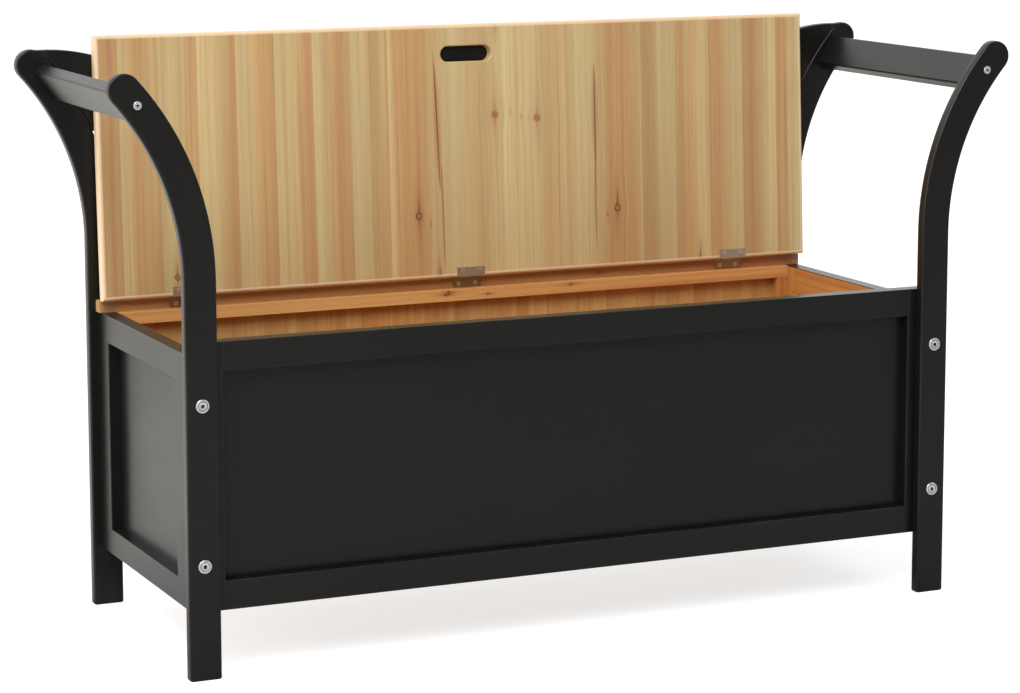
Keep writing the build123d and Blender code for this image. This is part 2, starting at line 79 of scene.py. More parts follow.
# ------------------------------------------------------------------ floor and light
# A pale studio floor in a white room that is bright behind and on the left and dim in front. A
# large soft lamp hangs at the left, a weak one at the right, and a small one grazes the bench
# from the far left, to draw its rounded edges.
FLOOR_REACH = 14.0
FLOOR_GREY = (0.50, 0.50, 0.50)
FLOOR_GLOW = 0.72
REFLECTED_WHITE = (1.0, 0.965, 0.86)
ROOM_DIM, ROOM_BEHIND, ROOM_ABOVE = 0.09, 1.16, 0.12
LEFTWARD = 0.45  # how far the bright side of the room is turned to the left
SOFTBOXES = (
    ("key_softbox", (-1.9, -2.3, 3.1), (0, 0, 0.35), 2.2, 128),
    ("right_softbox", (2.6, -1.6, 2.2), (0, 0, 0.4), 1.8, 14),
    ("rim_softbox", (-3.0, 0.5, 1.0), (-0.5, 0, 0.5), 0.9, 16),
)


class Wire:
    """One output in a node tree. An operator adds the Math node that does it."""

    def __init__(self, graph, socket):
        self.graph = graph
        self.socket = socket

    def math(self, operation, *values):
        return self.graph.node("Math", {"operation": operation}, dict(enumerate(values)))

    def __add__(self, other):
        return self.math("ADD", self, other)

    def __radd__(self, other):
        return self.math("ADD", other, self)

    def __sub__(self, other):
        return self.math("SUBTRACT", self, other)

    def __rsub__(self, other):
        return self.math("SUBTRACT", other, self)

    def __mul__(self, other):
        return self.math("MULTIPLY", self, other)

    def __rmul__(self, other):
        return self.math("MULTIPLY", other, self)

    def __truediv__(self, other):
        return self.math("DIVIDE", self, other)

    def __pow__(self, other):
        return self.math("POWER", self, other)

    def __abs__(self):
        return self.math("ABSOLUTE", self)

    def of(self, operation):
        return self.math(operation, self)

    def least(self, other):
        return self.math("MINIMUM", self, other)

    def most(self, other):
        return self.math("MAXIMUM", self, other)

    def rise(self, low, high):
        """0 below low, 1 above high and a smooth step between; low above high turns it round."""
        settings = {"interpolation_type": "SMOOTHSTEP"}
        return self.graph.node("MapRange", settings, {0: self, 1: low, 2: high})


class Graph:
    """The node tree of a material or of the world. Its values are wires or plain numbers."""

    def __init__(self, tree):
        self.tree = tree

    def node(self, kind, settings, inputs, output=0):
        made = self.tree.nodes.new("ShaderNode" + kind)
        for key, value in settings.items():
            setattr(made, key, value)
        for key, value in inputs.items():
            self.join(made.inputs[key], value)
        return Wire(self, made.outputs[output])

    def join(self, socket, value):
        if isinstance(value, Wire):
            self.tree.links.new(value.socket, socket)
        elif hasattr(socket.default_value, "__len__") and len(value) < len(socket.default_value):
            socket.default_value = (*value, 1)
        else:
            socket.default_value = value

    def split(self, vector):
        made = self.tree.nodes.new("ShaderNodeSeparateXYZ")
        self.join(made.inputs[0], vector)
        return [Wire(self, made.outputs[axis]) for axis in range(3)]

    def place(self):
        """Object coordinates as three wires. They are metres on the bench."""
        return self.split(self.node("TexCoord", {}, {}, "Object"))

    def ray(self, kind):
        return self.node("LightPath", {}, {}, f"Is {kind} Ray")

    def grain(self, axes, rates, detail=2.0, roughness=0.5, shift=0.0):
        """Noise about 0, mostly within -0.5 and 0.5. axes run along, across and through a board,
        and rates are the noise's waves per metre on them."""
        along, across, depth = [axis * rate for axis, rate in zip(axes, rates)]
        across = across + shift if shift else across
        where = self.node("CombineXYZ", {}, {0: across, 1: along, 2: depth})
        inputs = {"Vector": where, "Scale": 1.0, "Detail": detail, "Roughness": roughness}
        return (self.node("TexNoise", {}, inputs) - 0.5) * 2.0

    def chance(self, number):
        """A random number from 0 to 1 that goes with a whole number."""
        return self.node("TexWhiteNoise", {"noise_dimensions": "1D"}, {"W": number})

    def blend(self, amount, first, second):
        """A colour: first where amount is 0, second where it is 1."""
        inputs = {0: amount, 6: first, 7: second}
        return self.node("Mix", {"data_type": "RGBA"}, inputs, 2)

    def tinted(self, amount, colour, tint):
        """A colour multiplied by another, as far as amount says."""
        inputs = {0: amount, 6: colour, 7: tint}
        return self.node("Mix", {"data_type": "RGBA", "blend_type": "MULTIPLY"}, inputs, 2)

    def dim(self, colour, amount):
        """A colour times a number."""
        inputs = {0: colour, "Scale": amount}
        return self.node("VectorMath", {"operation": "SCALE"}, inputs)


class Finish(Graph):
    """A material with one Principled shader."""

    def __init__(self, name):
        self.material = bpy.data.materials.new(name)
        self.material.use_nodes = True
        super().__init__(self.material.node_tree)
        self.shader = self.tree.nodes["Principled BSDF"]

    def surface(self, **values):
        for key, value in values.items():
            self.join(self.shader.inputs[key.replace("_", " ")], value)

    def relief(self, height, depth):
        """Bumps that are depth metres high where height is 1."""
        self.surface(Normal=self.node("Bump", {}, {"Distance": depth, "Height": height}))


floor_mesh = bpy.data.meshes.new("studio_floor")
floor_corners = [(x * FLOOR_REACH, y * FLOOR_REACH, 0) for x, y in ((-1, -1), (1, -1), (1, 1), (-1, 1))]
floor_mesh.from_pydata(floor_corners, [], [(0, 1, 2, 3)])
floor = bpy.data.objects.new("studio_floor", floor_mesh)
scene.collection.objects.link(floor)
paper = Finish("studio_paper")
x, y, z = paper.place()
backdrop = (y - x * LEFTWARD).rise(0.15, 1.25)
glossy = paper.ray("Glossy")
seen = paper.ray("Camera").most(paper.ray("Transmission")).most(glossy * backdrop)
hue = paper.blend(glossy, (1, 1, 1), REFLECTED_WHITE)
glow = paper.blend(seen, (0, 0, 0), hue)
paper.surface(Base_Color=FLOOR_GREY, Roughness=0.9, Emission_Color=glow, Emission_Strength=FLOOR_GLOW)
floor_mesh.materials.append(paper.material)

world = bpy.data.worlds.new("studio")
scene.world = world
world.use_nodes = True
world.node_tree.nodes.clear()
room = Graph(world.node_tree)
x, y, z = room.split(room.node("TexCoord", {}, {}, "Generated"))
behind = (y - x * LEFTWARD).rise(-0.55, 0.45)
above = z.rise(-0.1, 0.9)
level = ROOM_DIM + behind * ROOM_BEHIND + above * ROOM_ABOVE
strength = room.node("Mix", {"data_type": "FLOAT"}, {0: room.ray("Camera"), 2: level, 3: 1.0})
lit = room.node("Background", {}, {"Color": (1, 1, 1), "Strength": strength})
world_end = world.node_tree.nodes.new("ShaderNodeOutputWorld")
room.join(world_end.inputs["Surface"], lit)

for name, place, aim, size, power in SOFTBOXES:
    light = bpy.data.lights.new(name, "AREA")
    light.shape = "SQUARE"
    light.size = size
    light.energy = power
    lamp = bpy.data.objects.new(name, light)
    lamp.location = place
    lamp.rotation_euler = (Vector(aim) - Vector(place)).to_track_quat("-Z", "Y").to_euler()
    scene.collection.objects.link(lamp)
scene.view_settings.view_transform = "Standard"


# ------------------------------------------------------------------ the paint
# Black satin paint sprayed on planed pine. The grain still stands a few hundredths of a
# millimetre through it, the sheen is a little uneven, and handling has polished its edges. The
# edges are painted lighter, partly as rubbed paint and partly as a painted highlight.
PAINT = (0.0068, 0.0064, 0.0056)
PAINT_THIN = (0.0100, 0.0093, 0.0080)
PAINT_EDGE_WEAR_AND_HIGHLIGHT = (0.026, 0.024, 0.020)
PAINT_DUST = (0.050, 0.048, 0.044)
PAINT_SPECULAR = 0.31
SURFACE_RELIEF = 0.00006


def paint_values(finish, axes, edge=0.0):
    """Colour, roughness and height of the paint on a board. edge is 1 on the board's edges,
    where the paint is thin and rubbed in places and is painted lighter, partly as wear and
    partly as a painted highlight."""
    grain = finish.grain(axes, (7, 420, 420), 3.0, 0.6)
    orange_peel = finish.grain(axes, (900, 900, 900), 1.0)
    cloud = finish.grain(axes, (5, 9, 9))
    dust = finish.grain(axes, (1700, 1700, 1700), 1.0)
    colour = finish.blend(cloud.rise(-0.4, 0.5) * 0.5, PAINT, PAINT_THIN)
    # Lighter edges: partly rubbed paint, partly a painted highlight.
    rubbed_and_lit_edge = edge * (cloud + grain * 0.4).rise(-0.35, 0.35)
    colour = finish.blend(rubbed_and_lit_edge * 0.75, colour, PAINT_EDGE_WEAR_AND_HIGHLIGHT)
    colour = finish.blend(dust.rise(0.52, 0.66) * 0.35, colour, PAINT_DUST)
    sheen = 0.32 + cloud * 0.06 + grain * 0.05 - rubbed_and_lit_edge * 0.06
    height = grain * 0.5 + orange_peel * 0.22
    return colour, sheen, height


def spray(finish, axes, edge):
    """Paint all over a piece."""
    colour, sheen, height = paint_values(finish, axes, edge)
    finish.surface(Base_Color=colour, Roughness=sheen, Specular_IOR_Level=PAINT_SPECULAR)
    finish.relief(height, SURFACE_RELIEF)


# ------------------------------------------------------------------ legs and arms
# Four flat boards 15 mm thick and 41 mm wide. Each stands straight, then curves outward into an
# arm with a round end. The edges are rounded over and the whole is sprayed black.
LEG_WIDTH = 0.041
LEG_ROUND = 0.0026
FOOT_EASE = 0.0016
ARM_START = 0.494
LEG_HALF = LEG_WIDTH / 2
leg_low, leg_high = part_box("front_right_leg")
LEG_X = leg_low.x + LEG_HALF
# The solid's round end is made of facets, so its reach is rounded to 0.1 mm.
ARM_REACH, ARM_TOP = round(leg_high.x, 4), round(leg_high.z, 4)
LEG_THICKNESS = leg_high.y - leg_low.y
flare = ARM_REACH - LEG_HALF - LEG_X
rise = ARM_TOP - LEG_HALF - ARM_START
ARM_SWEEP = 2 * atan2(flare, rise)
ARM_RADIUS = rise / sin(ARM_SWEEP)
ARC_X = LEG_X + ARM_RADIUS
TIP_X = ARC_X - ARM_RADIUS * cos(ARM_SWEEP)
TIP_Z = ARM_START + ARM_RADIUS * sin(ARM_SWEEP)


def edge_ring(thick, round_over):
    """Section of a board with rounded edges: inset, side (1 or -1) and depth of its points. Each
    quarter round is an arc, and a point just inside it keeps the broad faces flat."""
    turn = np.linspace(0, pi / 2, 6)
    inset = np.append(round_over * (1 - np.cos(turn)), round_over * 1.35)
    drop = np.append(round_over * (1 - np.sin(turn)), 0.0)
    side_inset = np.concatenate([inset[::-1], inset])
    side_depth = np.concatenate([drop[::-1], thick - drop])
    insets = np.concatenate([side_inset, side_inset[::-1]])
    depths = np.concatenate([side_depth, side_depth[::-1]])
    return insets, np.repeat([1.0, -1.0], len(side_inset)), depths


def ring_faces(rows, columns):
    """Point numbers of a grid whose rows are rings, and the faces between its rows."""
    index = np.arange(rows * columns).reshape(rows, columns)
    onward = np.roll(index, -1, 1)
    quads = np.stack([index[:-1], onward[:-1], onward[1:], index[1:]], -1)
    return index, quads.reshape(-1, 4)


def make_piece(name, points, faces, smooth_below=40, **marks):
    """A piece at the origin, its doubles welded and its faces turned outward. marks are
    attributes of its points, numbers or vectors."""
    mesh = bpy.data.meshes.new(name)
    mesh.from_pydata(points.reshape(-1, 3).tolist(), [], faces)
    for mark, values in marks.items():
        kind, field = ("FLOAT", "value") if values.ndim == 1 else ("FLOAT_VECTOR", "vector")
        attribute = mesh.attributes.new(mark, kind, "POINT")
        attribute.data.foreach_set(field, np.ascontiguousarray(values, np.float32).ravel())
    work = bmesh.new()
    work.from_mesh(mesh)
    bmesh.ops.remove_doubles(work, verts=work.verts, dist=0.00001)
    bmesh.ops.dissolve_degenerate(work, edges=work.edges, dist=0.00001)
    bmesh.ops.recalc_face_normals(work, faces=work.faces)
    work.to_mesh(mesh)
    work.free()
    mesh.shade_smooth()
    mesh.set_sharp_from_angle(angle=radians(smooth_below))
    piece = bpy.data.objects.new(name, mesh)
    scene.collection.objects.link(piece)
    return piece


def leg_board(name, hand, front):
    """The section is carried up the leg. At height h a point is at x = LEG_X - side * reach; on
    the arc at angle a it is at ARM_RADIUS + side * reach from the arc's centre; round the tip
    the half width swings through 90 degrees, so that both sides meet."""
    insets, sides, depths = edge_ring(LEG_THICKNESS, LEG_ROUND)
    reach = LEG_HALF - insets
    flat = np.zeros_like(insets)
    height = np.array([0.0, FOOT_EASE, 0.12, 0.25, 0.38])[:, None]
    foot_inset = np.where(height == 0, FOOT_EASE, 0.0)
    sweep = np.linspace(0, ARM_SWEEP, 25)[:, None]
    radius = ARM_RADIUS + sides * reach
    swing = np.linspace(0, pi / 2, 12)[1:, None]
    out = sides * reach * np.cos(swing)
    on = reach * np.sin(swing)
    x = np.concatenate([
        LEG_X - sides * (reach - foot_inset),
        ARC_X - radius * np.cos(sweep),
        TIP_X - out * cos(ARM_SWEEP) + on * sin(ARM_SWEEP),
    ])
    z = np.concatenate([
        height + flat,
        ARM_START + radius * np.sin(sweep),
        TIP_Z + out * sin(ARM_SWEEP) + on * cos(ARM_SWEEP),
    ])
    along = np.concatenate([
        height + flat,
        ARM_START + ARM_RADIUS * sweep + flat,
        ARM_START + ARM_RADIUS * ARM_SWEEP + on,
    ])
    y = np.broadcast_to(front + depths, x.shape)
    across = np.broadcast_to(sides * reach, x.shape)
    index, faces = ring_faces(*x.shape)
    points = np.stack([hand * x, y, z], -1)
    board = np.stack([along, across, y - front], -1).reshape(-1, 3)
    return make_piece(name, points, faces.tolist() + [index[0].tolist()], board=board)


EDGE_BAND = 0.0030
arm_paint = Finish("arm_paint")
board_place = arm_paint.node("Attribute", {"attribute_name": "board"}, {}, "Vector")
along, across, depth = arm_paint.split(board_place)
side_reach = (abs(across) - LEG_HALF + EDGE_BAND) / EDGE_BAND
face_reach = (abs(depth - LEG_THICKNESS / 2) - LEG_THICKNESS / 2 + EDGE_BAND) / EDGE_BAND
spray(arm_paint, (along, across, depth), side_reach.least(face_reach).rise(0.05, 0.75))
for end in ("front", "back"):
    for hand_name, hand in (("left", -1), ("right", 1)):
        node = f"{end}_{hand_name}_leg"
        leg = leg_board(f"{end}_{hand_name}_arm_leg", hand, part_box(node)[0].y)
        leg.data.materials.append(arm_paint.material)
        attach(leg, "bench_frame")
        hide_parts(node)


# ------------------------------------------------------------------ the bare wood
# Softwood under a thin clear lacquer: pale sapwood and tan heartwood, pinkish and pale streaks,
# darker summer rings along the grain, fine fibres, and here and there a resin line or a knot.
SAPWOOD = (0.610, 0.452, 0.216)
HEARTWOOD = (0.535, 0.312, 0.125)
PINK = (0.500, 0.240, 0.118)
PALE = (0.660, 0.545, 0.275)
RING = (0.300, 0.140, 0.050)
KNOT = (0.370, 0.085, 0.022)
CHAR = (0.085, 0.030, 0.008)
ORANGE = (0.93, 0.66, 0.40)
# redness is the strength of a knot's red inside, and ring that of its dark ring and dark tail.
Knot = namedtuple("Knot", "across along radius redness ring")
Streak = namedtuple("Streak", "across along half_length half_width lean")


def spindle(sideways, lengthways, half_width, half_length):
    """0 in the middle of a mark pointed at both ends and 1 on its outline."""
    return abs(sideways) / half_width + abs(lengthways) / half_length


def knot_marks(finish, axes, side, knots):
    """Red and dark marks of the knots, and side with the fibres bent round them."""
    grit = finish.grain(axes, (420, 700, 700)) * 0.8 if knots else 0
    reds, darks = [], []
    for knot in knots:
        radius = knot.radius
        sideways = side - knot.across
        lengthways = axes[0] - knot.along
        reach = (sideways * sideways + lengthways * lengthways * 0.85).of("SQRT") / radius
        side = side - sideways * (reach * -0.45).of("EXPONENT") * 0.85
        disc = (reach + grit * 0.5).rise(1.25, 0.75) * knot.redness * (0.72 + grit * 0.75)
        tail = spindle(sideways, lengthways, radius * 1.1, radius * 9).rise(1.0, 0.0)
        stain = spindle(sideways, lengthways, radius * 3.2, radius * 22).rise(1.0, 0.0)
        reds.append(disc.most(tail * 0.50).most(stain * (0.20 + knot.ring * 0.16)))
        band = abs(reach + grit * 0.35 - 0.95).rise(0.44, 0.12) * knot.ring
        core = (reach + grit * 0.8).rise(0.42, 0.12) * (0.30 + knot.ring * 0.35)
        upper = lengthways - radius * 1.2
        flame = spindle(sideways, upper, radius * 0.62, radius * 8.5).rise(1.0, 0.25)
        flame = flame * reach.rise(0.8, 1.1)
        darks.append(band.most(core).most(flame * knot.ring * 0.85))
    return reds, darks, side


def streak_marks(along, side, lines, broad, streaks):
    """Red and dark marks of resin streaks, which taper to both ends and have ragged edges."""
    reds, darks = [], []
    for streak in streaks:
        travel = along - streak.along
        ragged = lines * 0.5 + broad * 0.5 + 1.0
        taper = (1.0 - (travel / streak.half_length) ** 2.0).most(0.0) * ragged
        shift = side - streak.across - travel * streak.lean + lines * 0.0006
        inside = abs(shift) / (streak.half_width * taper + 0.00002)
        reds.append(inside.rise(3.2, 0.2) * taper.rise(0.0, 0.3) * (0.46 + lines * 0.5))
        core = inside.rise(0.46, 0.14) * taper.rise(0.05, 0.4)
        darks.append(core * (0.92 + lines * 1.6).most(0.0))
    return reds, darks


def wood_values(finish, axes, heart, tint=1.0, knots=(), streaks=(), figure=1.0):
    """Colour, roughness and height of the wood. heart is 0 in sapwood and 1 in heartwood, and
    figure says how strongly the summer rings show."""
    along, across, depth = axes
    side = across + finish.grain(axes, (2, 6, 6)) * 0.003
    reds, darks, side = knot_marks(finish, axes, side, knots)
    fibres = (along, side, depth)
    rings = finish.grain(fibres, (1.2, 170, 120), 3.0, 0.68)
    broad = finish.grain(fibres, (0.6, 24, 20), 1.0)
    lines = finish.grain(fibres, (3, 520, 520), 2.0, 0.6) * (0.55 + broad * 1.6).most(0.12)
    warm = finish.grain(fibres, (0.7, 62, 60), 2.0, 0.6, shift=9.0)
    fibre = finish.grain(fibres, (26, 1500, 1500), 2.0, 0.6)
    fleck = finish.grain(fibres, (90, 1100, 1100), 1.0, shift=5.0)
    colour = finish.blend(heart, SAPWOOD, HEARTWOOD)
    colour = finish.blend(warm.rise(0.02, 0.50) * (0.42 + 0.36 * heart), colour, PINK)
    colour = finish.blend(warm.rise(-0.08, -0.50) * 0.60, colour, PALE)
    late = (rings + lines * 0.35).rise(0.06, 0.62) * (0.26 + 0.26 * heart) * figure
    late = late * (0.75 + broad * 1.5).most(0.15)
    colour = finish.blend(late, colour, RING)
    colour = finish.blend(fleck.rise(0.50, 0.66) * 0.22, colour, RING)
    level = 1.02 + broad * 0.18 - rings * 0.16 + lines * 0.22 + fibre * 0.14
    colour = finish.dim(colour, level * tint)
    more_reds, more_darks = streak_marks(along, side, lines, broad, streaks)
    if knots or streaks:
        colour = finish.blend(reduce(Wire.most, reds + more_reds), colour, KNOT)
        darkest = reduce(Wire.most, darks + more_darks).least(1.0)
        colour = finish.blend(darkest * 0.85, colour, CHAR)
    sheen = 0.47 + rings * 0.05 + fibre * 0.05
    height = fibre * 0.5 + rings * 0.5
    return colour, sheen, height


# ------------------------------------------------------------------ the framed front
# Two rails and two stiles round a thin panel, glued with stub tenons. The front and the edges
# are sprayed black and the inside is left bare. One nail hole in the bottom rail isn't filled:
# it is a dent in the bump with a near-black spot, painted shade inside the hole.
FRONT_INNER, FRONT_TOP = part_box("front_top_rail")[1].yz
NAIL_X, NAIL_Z, NAIL_RADIUS = -0.440, 0.101, 0.0017
NAIL_HOLE_SHADE = (0.001, 0.001, 0.001)
NAIL_DEPTH = 12  # times the paint's relief
FRONT_BARE_END = 0.526
OVERSPRAY, TOP_SPRAY = 0.0016, 0.0010  # how far the paint runs past a corner
SOFT_LINE = 0.0002  # half the width of its soft edge
EDGE_FAR, EDGE_CREST = 0.0024, 0.0004


def board_axes(finish, along):
    """Along, across and through a board, for a board that runs along x, y or z."""
    x, y, z = finish.place()
    return {"x": (x, z, y), "y": (y, z, x), "z": (z, x, y)}[along]


def edges_of(finish, node):
    """1 along the edges of a square-cut board and 0 on its faces. A point on an edge is close to
    two of the faces of the board's box."""
    total = -1.0
    for wire, low, high in zip(finish.place(), *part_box(node)):
        gap = (high - low) / 2 - abs(wire - (low + high) / 2)
        total = gap.rise(EDGE_FAR, EDGE_CREST) + total
    return total.rise(0.05, 0.9)


def past(wire, limit, way=1):
    """1 above a limit, or below it where way is -1, with the soft edge of masked paint."""
    return wire.rise(limit - way * SOFT_LINE, limit + way * SOFT_LINE)


def between(amount, first, second):
    """A number: first where amount is 0, second where it is 1."""
    return first + amount * (second - first)


def dress(finish, *names):
    """Gives CAD nodes a finish."""
    for name in names:
        for slot in nodes[name].material_slots:
            slot.material = finish.material


def half_painted(node, along, bare_where, heart_level, warmth=0.8, nail_hole=False):
    """Paint outside and bare wood where bare_where(x, y, z) is 1. heart_level says how much of
    the wood is heartwood, and warmth how orange its lacquer is."""
    finish = Finish(node + "_finish")
    axes = board_axes(finish, along)
    colour, sheen, height = paint_values(finish, axes, edges_of(finish, node))
    heart = (finish.grain(axes, (1.1, 24, 8)) + heart_level).rise(0.1, 0.9)
    wood_colour, wood_sheen, wood_height = wood_values(finish, axes, heart, figure=1.9)
    wood_colour = finish.tinted(warmth, wood_colour, ORANGE)
    x, y, z = finish.place()
    bare = bare_where(x, y, z)
    colour = finish.blend(bare, colour, wood_colour)
    if nail_hole:
        reach = ((x - NAIL_X) ** 2.0 + (z - NAIL_Z) ** 2.0).of("SQRT") / NAIL_RADIUS
        pit = reach.rise(1.15, 0.85)
        # The hole's near-black colour is painted shade inside it.
        colour = finish.blend(pit, colour, NAIL_HOLE_SHADE)
        height = height - pit * NAIL_DEPTH
    sheen = between(bare, sheen, wood_sheen)
    finish.surface(Base_Color=colour, Roughness=sheen, Specular_IOR_Level=PAINT_SPECULAR)
    finish.relief(between(bare, height, wood_height), SURFACE_RELIEF)
    dress(finish, node)


def inside_front(x, y, z):
    inner = past(y, FRONT_INNER - OVERSPRAY) * past(abs(x), FRONT_BARE_END, -1)
    return inner * past(z, FRONT_TOP - TOP_SPRAY, -1)


half_painted("front_top_rail", "x", inside_front, 0.5)
half_painted("front_bottom_rail", "x", inside_front, 0.4, nail_hole=True)
half_painted("front_left_stile", "z", inside_front, 0.5)
half_painted("front_right_stile", "z", inside_front, 0.5)
half_painted("front_panel", "x", inside_front, 0.3)


# ------------------------------------------------------------------ the framed sides
# The same construction as the front: four narrow boards round a thin panel, black outside and
# on the top edge, bare wood on the inner face.
side_low, side_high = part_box("right_side_top_rail")
SIDE_INNER, SIDE_TOP = side_low.x, side_high.z


def inside_sides(x, y, z):
    return past(abs(x), SIDE_INNER + OVERSPRAY, -1) * past(z, SIDE_TOP - TOP_SPRAY, -1)


for hand_name in ("left", "right"):
    half_painted(f"{hand_name}_side_top_rail", "y", inside_sides, 0.75, 1.0)
    half_painted(f"{hand_name}_side_bottom_rail", "y", inside_sides, 0.75)
    half_painted(f"{hand_name}_side_front_stile", "z", inside_sides, 0.6)
    half_painted(f"{hand_name}_side_rear_stile", "z", inside_sides, 0.9, 1.0)
    half_painted(f"{hand_name}_side_panel", "y", inside_sides, 0.2, 0.5)


# ------------------------------------------------------------------ back, battens and bottom
# The back is a panel of upright staves, black behind. Square battens of bare wood carry the
# bottom, stiffen the corners and run along the top of the back.
BACK_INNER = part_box("back_panel")[0].y
BACK_SPRAY = 0.0014
PLAIN_FIGURE, STAVED_FIGURE = 1.5, 0.8
BATTEN_KNOTS = (
    Knot(0.3925, -0.0360, 0.0019, 0.9, 1.6),
    Knot(0.3950, -0.0315, 0.0017, 0.9, 1.3),
    Knot(0.3905, 0.0275, 0.0013, 0.7, 1.6),
    Knot(0.3960, 0.1560, 0.0020, 0.7, 0.8),
)


def staved(finish, across, width, seed):
    """Heartwood share and brightness of a panel glued from staves. A stave turns from heartwood
    to sapwood across its width, and a fine line marks the joint."""
    count = across / width + seed
    number = count.of("FLOOR")
    part = count - number
    tone = finish.chance(number + 0.5)
    reach = finish.chance(number + 40.5) * 0.6 + 0.35
    heart = (part - reach).rise(0.30, -0.30) * (tone * 0.6 + 0.3)
    seam = abs(part - 0.5).rise(0.5 - 0.0006 / width, 0.5 - 0.0001 / width)
    return heart, 0.93 + tone * 0.14 - seam * 0.20


def bare_board(
    node, along, heart_level=0.5, warmth=0.8, knots=(), level=1.0, staves=None, black_where=None
):
    """Bare wood, in one piece or glued from staves (width, seed), and black where
    black_where(x, y, z) is 1. level is its brightness, which staves vary by themselves; a level
    above or below 1 paints light or shade into the wood."""
    finish = Finish(node + "_finish")
    axes = board_axes(finish, along)
    if staves is None:
        heart = (finish.grain(axes, (1.1, 24, 24)) + heart_level).rise(0.1, 0.9)
        figure = PLAIN_FIGURE
    else:
        heart, level = staved(finish, axes[1], *staves)
        figure = STAVED_FIGURE
    colour, sheen, height = wood_values(finish, axes, heart, level, knots, figure=figure)
    colour = finish.tinted(warmth, colour, ORANGE)
    if black_where is not None:
        black = black_where(*finish.place())
        paint_colour, paint_sheen, paint_height = paint_values(finish, axes)
        colour = finish.blend(black, colour, paint_colour)
        sheen = between(black, sheen, paint_sheen)
        height = between(black, height, paint_height)
    finish.surface(Base_Color=colour, Roughness=sheen)
    finish.relief(height, SURFACE_RELIEF)
    dress(finish, node)


def behind_back(x, y, z):
    return past(y, BACK_INNER + BACK_SPRAY)


bare_board("back_panel", "z", warmth=0.68, staves=(0.047, 3.3), black_where=behind_back)
# The top batten's wood is brightened, painted light: it stands forward of the strip.
bare_board("back_top_batten", "x", 0.70, 0.62, BATTEN_KNOTS, 1.36)
for hand_name in ("left", "right"):
    bare_board(f"bottom_{hand_name}_batten", "y", 0.45)
    bare_board(f"rear_{hand_name}_cleat", "z", 0.75, 1.0)
bare_board("bottom_front_batten", "x", 0.45)
bare_board("bottom_rear_batten", "x", 0.45)
bare_board("bottom_panel", "x", staves=(0.085, 7.7))


# ------------------------------------------------------------------ the seat strip
# A narrow board of the seat's own wood, with one small knot. It is fixed behind the lid and
# carries the hinges. Its wood is darkened, painted shade under the open lid's edge.
STRIP_KNOTS = (Knot(0.4070, 0.2040, 0.0022, 0.6, 0.5),)
# Level 0.92 darkens the strip: painted shade.
bare_board("seat_strip", "x", 0.55, 0.55, STRIP_KNOTS, 0.92)


# ------------------------------------------------------------------ the lid
# A seat board glued from upright staves, 16 mm thick, with every edge rounded over and an oval
# hand slot. It stands open and leans on the backrest rail.
hinge = frame["joints"][0]
PIVOT_Y, PIVOT_Z = hinge["pos_m"][1:]
LEAN = radians(hinge["range_deg"][1] - 90)
LID_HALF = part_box("lid")[1].x
LID_NEAR, LID_DEPTH = 0.0007, 0.3498  # from the pin to the near edge, and between its edges
LID_RIM_PALE_AND_LIT = (0.94, 0.67, 0.44)
# The staves are laid as mirrored pairs about FOLD. The two middle ones are FIRST_STAVE wide.
FOLD, FIRST_STAVE, STAVE = 0.0755, 0.1935, 0.0545
LID_KNOTS = (
    Knot(-0.0760, 0.0885, 0.0040, 0.45, 0.9),
    Knot(0.2287, 0.0838, 0.0042, 0.45, 0.9),
    Knot(0.0415, 0.2235, 0.0050, 1.00, 0.12),
    Knot(0.1050, 0.2165, 0.0050, 1.00, 0.12),
    Knot(0.0630, 0.2258, 0.0009, 0.60, 0.5),
    Knot(0.0825, 0.2185, 0.0009, 0.60, 0.5),
    Knot(-0.0605, 0.0765, 0.0011, 0.70, 0.4),
    Knot(0.2150, 0.0750, 0.0013, 0.70, 0.4),
    Knot(-0.0473, 0.0022, 0.0030, 0.60, 0.9),
    Knot(0.3600, 0.0022, 0.0030, 0.60, 0.9),
    Knot(-0.4250, 0.0260, 0.0034, 0.90, 0.8),
    Knot(0.0447, 0.3500, 0.0026, 0.60, 0.9),
)
LID_STREAKS = (
    Streak(-0.0462, 0.2100, 0.0950, 0.0024, -0.026),
    Streak(-0.0480, 0.2500, 0.0700, 0.0009, -0.030),
    Streak(-0.0405, 0.0850, 0.0850, 0.0011, -0.014),
    Streak(0.1952, 0.2150, 0.0800, 0.0026, 0.006),
    Streak(0.1946, 0.1100, 0.0850, 0.0011, -0.004),
)

lid_finish = Finish("lid_finish")
x, y, z = lid_finish.place()
up_lid = (y - PIVOT_Y) * sin(LEAN) + (z - PIVOT_Z) * cos(LEAN)
out_of_lid = (z - PIVOT_Z) * sin(LEAN) - (y - PIVOT_Y) * cos(LEAN)
folded = abs(x - FOLD)
sway = lid_finish.grain((up_lid, folded, 0.0), (1.4, 9, 0), 1.0) * 0.05
# Each outer stave turns from heartwood to sapwood across its width.
count = (folded - FIRST_STAVE) / STAVE
number = count.of("FLOOR")
part = count - number
tone = lid_finish.chance(number + 3.5)
turning = lid_finish.chance(number + 21.5) * 0.65 + 0.22
outer = (part - turning + sway).rise(0.26, -0.26) * (0.78 + tone * 0.22)
# The middle staves have heartwood at their outer sides and a weak band near the middle.
middle = (folded + sway * 0.2).rise(0.104, 0.150) * (folded + sway * 0.1).rise(0.192, 0.182)
middle = middle.most((abs(folded - 0.058) + sway * 0.2).rise(0.024, 0.004) * 0.45)
heart = between(folded.rise(FIRST_STAVE - 0.0005, FIRST_STAVE + 0.0005), middle, outer)
seam = abs(part - 0.5).rise(0.488, 0.498) * folded.rise(0.180, 0.190)
stave_level = 0.97 + tone * 0.07 - seam * 0.12
lid_colour, lid_sheen, lid_height = wood_values(
    lid_finish, (up_lid, x, out_of_lid), heart, stave_level, LID_KNOTS, LID_STREAKS
)
